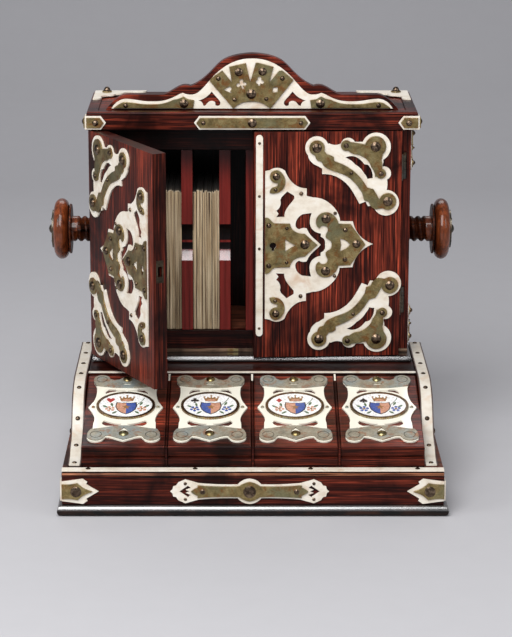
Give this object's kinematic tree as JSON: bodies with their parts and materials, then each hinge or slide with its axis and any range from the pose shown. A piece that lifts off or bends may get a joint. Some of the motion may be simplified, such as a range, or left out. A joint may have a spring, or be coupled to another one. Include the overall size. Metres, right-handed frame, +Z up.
{
  "type": "playing card box with drawer",
  "caption": "Games box: two-door card press with side screws on a platform, sloping lidded counter boxes in front, and a wide drawer in the base.",
  "frame": {"origin": "under the middle of the bounding box, on the surface that it stands on", "axes": "+X to the right seen from the front, +Y towards the back, +Z up"},
  "size_m": [0.2672, 0.203, 0.2638],
  "materials": {
    "walnut": "polished",
    "mahogany": "satin",
    "ebony": "polished",
    "amber_wood": "polished",
    "bone": "polished",
    "gilt_brass": "satin",
    "card_paper": "matt"
  },
  "bodies": {
    "carcass": {"bottom_board": "mahogany", "plinth_moulding": "ebony", "base_frame": "walnut", "tray_floor": "walnut", "ivory_strips": "bone", "strip_studs": "gilt_brass", "wing_left": "walnut", "wing_right": "walnut", "platform_frame": "walnut", "platform_top": "walnut", "waist_moulding": "ebony", "tray_dividers": "mahogany", "case_base": "walnut", "case_side_left": "walnut", "case_side_right": "walnut", "case_back": "walnut", "case_front_rails": "mahogany", "card_floor": "mahogany", "cornice_fascia": "walnut", "roof_panel": "walnut", "centre_partition": "mahogany", "pediment_board": "walnut", "case_ivory": "bone", "case_brass": "gilt_brass", "hinge_fixed": "gilt_brass", "box_body_1": "walnut", "box_body_2": "walnut", "box_body_3": "walnut", "box_body_4": "walnut"},
    "left_door": {"door_left_panel": "walnut", "door_left_ivory": "bone", "door_left_brass": "gilt_brass", "strike_plate": "gilt_brass", "hinge_leaves_left": "gilt_brass"},
    "right_door": {"door_right_panel": "walnut", "door_right_ivory": "bone", "door_right_brass": "gilt_brass", "lock_case": "gilt_brass", "hinge_leaves_right": "gilt_brass"},
    "bolt": {"lock_bolt": "gilt_brass"},
    "drawer": {"drawer_front": "walnut", "drawer_tray": "mahogany", "drawer_ivory": "bone", "drawer_brass": "gilt_brass"},
    "left_press": {"press_boards_left": "mahogany", "card_packs_left": "card_paper"},
    "left_screw": {"press_screw_left": "amber_wood", "screw_cap_left": "gilt_brass"},
    "right_press": {"press_boards_right": "mahogany", "card_packs_right": "card_paper"},
    "right_screw": {"press_screw_right": "amber_wood", "screw_cap_right": "gilt_brass"},
    "lid_1": {"lid_panel_1": "walnut", "lid_mounts_1": "gilt_brass"},
    "lid_2": {"lid_panel_2": "walnut", "lid_mounts_2": "gilt_brass"},
    "lid_3": {"lid_panel_3": "walnut", "lid_mounts_3": "gilt_brass"},
    "lid_4": {"lid_panel_4": "walnut", "lid_mounts_4": "gilt_brass"}
  },
  "joints": [
    {"name": "left_door_hinge", "type": "hinge", "parent": "carcass", "child": "left_door", "pos_m": [-0.0971, 0.0307, 0.142], "axis": [0, 0, -1], "range_deg": [-62.5, 42.5]},
    {"name": "right_door_hinge", "type": "hinge", "parent": "carcass", "child": "right_door", "pos_m": [0.0971, 0.0307, 0.142], "axis": [0, 0, 1], "range_deg": [-3.6, 101.4]},
    {"name": "lock_bolt_slide", "type": "slide", "parent": "right_door", "child": "bolt", "axis": [-0.998, -0.0628, 0], "range_m": [0, 0.004]},
    {"name": "drawer_slide", "type": "slide", "parent": "carcass", "child": "drawer", "axis": [0, -1, 0], "range_m": [0, 0.09]},
    {"name": "lid_1_slide", "type": "slide", "parent": "carcass", "child": "lid_1", "axis": [0, -0.9659, -0.2588], "range_m": [0, 0.045]},
    {"name": "lid_2_slide", "type": "slide", "parent": "carcass", "child": "lid_2", "axis": [0, -0.9659, -0.2588], "range_m": [0, 0.045]},
    {"name": "lid_3_slide", "type": "slide", "parent": "carcass", "child": "lid_3", "axis": [0, -0.9659, -0.2588], "range_m": [0, 0.045]},
    {"name": "lid_4_slide", "type": "slide", "parent": "carcass", "child": "lid_4", "axis": [0, -0.9659, -0.2588], "range_m": [0, 0.045]},
    {"name": "left_press_slide", "type": "slide", "parent": "carcass", "child": "left_press", "axis": [1, 0, 0], "range_m": [0, 0.009]},
    {"name": "left_screw_turn", "type": "hinge", "parent": "left_press", "child": "left_screw", "pos_m": [-0.11, 0.0657, 0.1426], "axis": [1, 0, 0], "range_deg": [0, 700]},
    {"name": "right_press_slide", "type": "slide", "parent": "carcass", "child": "right_press", "axis": [-1, 0, 0], "range_m": [0, 0.009]},
    {"name": "right_screw_turn", "type": "hinge", "parent": "right_press", "child": "right_screw", "pos_m": [0.11, 0.0657, 0.1426], "axis": [-1, 0, 0], "range_deg": [0, 700]}
  ],
  "couplings": [
    {"joint": "left_screw_turn", "follows": "left_press_slide", "rad_per_m": 1336.8},
    {"joint": "right_screw_turn", "follows": "right_press_slide", "rad_per_m": 1336.8}
  ]
}
